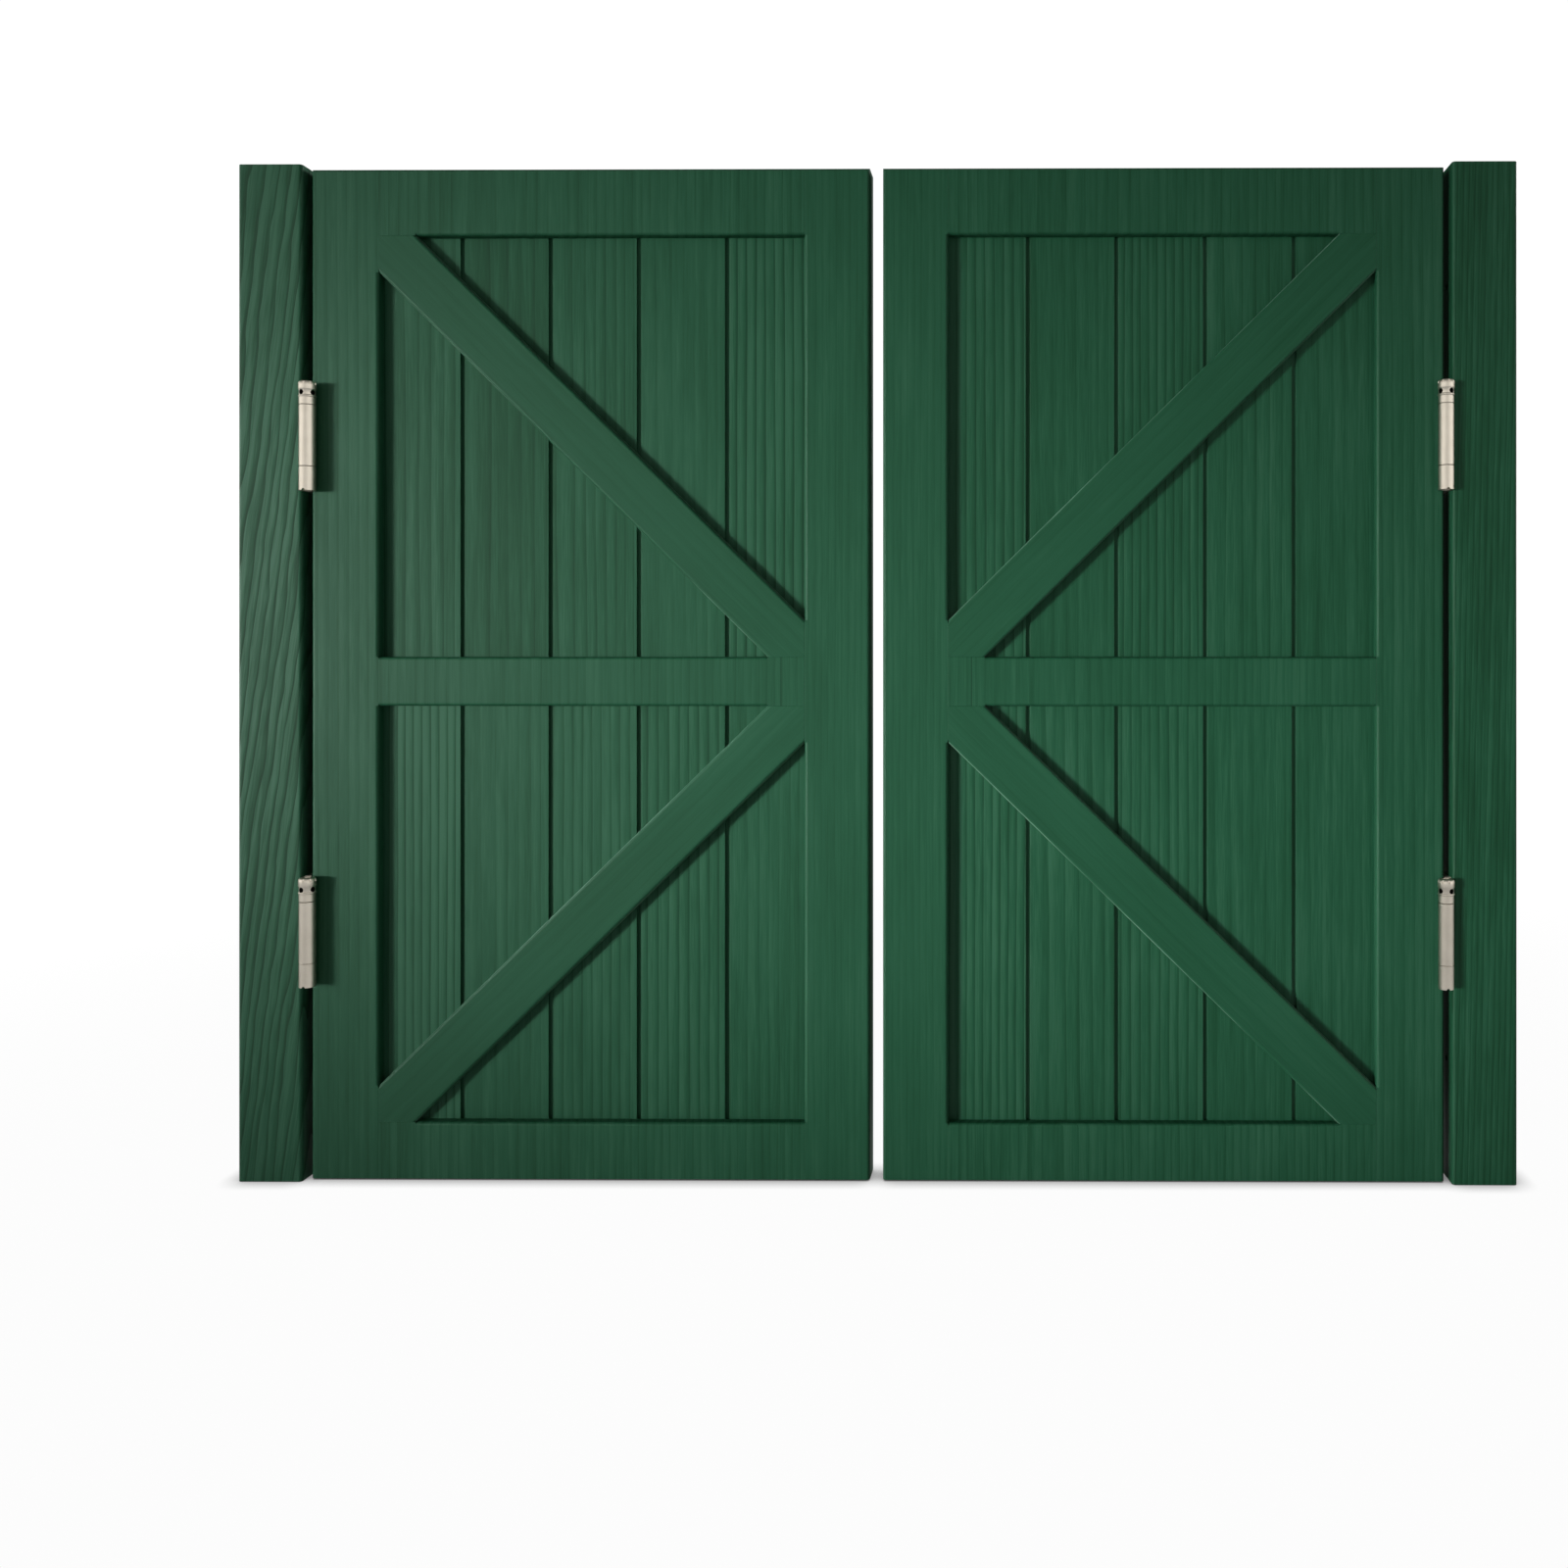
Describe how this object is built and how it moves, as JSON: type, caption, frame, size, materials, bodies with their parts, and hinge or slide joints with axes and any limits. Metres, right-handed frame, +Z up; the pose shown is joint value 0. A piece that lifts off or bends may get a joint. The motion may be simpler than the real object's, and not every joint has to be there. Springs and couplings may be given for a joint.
{
  "type": "cafe doors",
  "caption": "Low saloon doors that swing both ways: framed, boarded and braced leaves hung between jamb strips on double-action spring hinges that close them again.",
  "frame": {"origin": "bottom centre of the doorway, midway between the jambs and on the doors' middle plane, level with the foot of the jambs", "axes": "+X across the doorway to the right as seen from the front, +Y to the back, +Z up; the braced side faces -Y"},
  "size_m": [1.1722, 0.06, 0.934],
  "materials": {
    "jamb_pine": "satin dark green stain, grain showing",
    "frame_pine": "satin dark green stain, grain showing",
    "board_pine": "satin dark green stain, grain showing",
    "hinge_steel": "satin nickel plate",
    "spindle_steel": "plain drawn steel"
  },
  "bodies": {
    "jambs": {"front_collars": "hinge_steel", "front_spindles": "spindle_steel", "left_jamb": "jamb_pine", "left_lower_jamb_leaf": "hinge_steel", "left_upper_jamb_leaf": "hinge_steel", "right_jamb": "jamb_pine", "right_lower_jamb_leaf": "hinge_steel", "right_upper_jamb_leaf": "hinge_steel"},
    "left_links": {"left_lower_link_leaf": "hinge_steel", "left_upper_link_leaf": "hinge_steel"},
    "left_door": {"left_bottom_rail": "frame_pine", "left_hinge_stile": "frame_pine", "left_lower_brace": "frame_pine", "left_lower_door_leaf": "hinge_steel", "left_lower_plank_1": "board_pine", "left_lower_plank_2": "board_pine", "left_lower_plank_3": "board_pine", "left_lower_plank_4": "board_pine", "left_lower_plank_5": "board_pine", "left_meeting_stile": "frame_pine", "left_middle_rail": "frame_pine", "left_rear_collars": "hinge_steel", "left_rear_spindles": "spindle_steel", "left_top_rail": "frame_pine", "left_upper_brace": "frame_pine", "left_upper_door_leaf": "hinge_steel", "left_upper_plank_1": "board_pine", "left_upper_plank_2": "board_pine", "left_upper_plank_3": "board_pine", "left_upper_plank_4": "board_pine", "left_upper_plank_5": "board_pine"},
    "right_links": {"right_lower_link_leaf": "hinge_steel", "right_upper_link_leaf": "hinge_steel"},
    "right_door": {"right_bottom_rail": "frame_pine", "right_hinge_stile": "frame_pine", "right_lower_brace": "frame_pine", "right_lower_door_leaf": "hinge_steel", "right_lower_plank_1": "board_pine", "right_lower_plank_2": "board_pine", "right_lower_plank_3": "board_pine", "right_lower_plank_4": "board_pine", "right_lower_plank_5": "board_pine", "right_meeting_stile": "frame_pine", "right_middle_rail": "frame_pine", "right_rear_collars": "hinge_steel", "right_rear_spindles": "spindle_steel", "right_top_rail": "frame_pine", "right_upper_brace": "frame_pine", "right_upper_door_leaf": "hinge_steel", "right_upper_plank_1": "board_pine", "right_upper_plank_2": "board_pine", "right_upper_plank_3": "board_pine", "right_upper_plank_4": "board_pine", "right_upper_plank_5": "board_pine"}
  },
  "joints": [
    {"name": "left_opens_to_front", "type": "hinge", "parent": "jambs", "child": "left_links", "pos_m": [-0.5201, -0.0225, 0.457], "axis": [0, 0, -1], "range_deg": [0, 180], "stiffness_Nm_per_rad": 1.6, "springref_deg": -68.75},
    {"name": "left_opens_to_back", "type": "hinge", "parent": "left_links", "child": "left_door", "pos_m": [-0.5201, 0.0225, 0.457], "axis": [0, 0, -1], "range_deg": [-180, 0], "stiffness_Nm_per_rad": 1.6, "springref_deg": 68.75},
    {"name": "right_opens_to_front", "type": "hinge", "parent": "jambs", "child": "right_links", "pos_m": [0.5201, -0.0225, 0.457], "axis": [0, 0, 1], "range_deg": [0, 180], "stiffness_Nm_per_rad": 1.6, "springref_deg": -68.75},
    {"name": "right_opens_to_back", "type": "hinge", "parent": "right_links", "child": "right_door", "pos_m": [0.5201, 0.0225, 0.457], "axis": [0, 0, 1], "range_deg": [-180, 0], "stiffness_Nm_per_rad": 1.6, "springref_deg": 68.75}
  ]
}
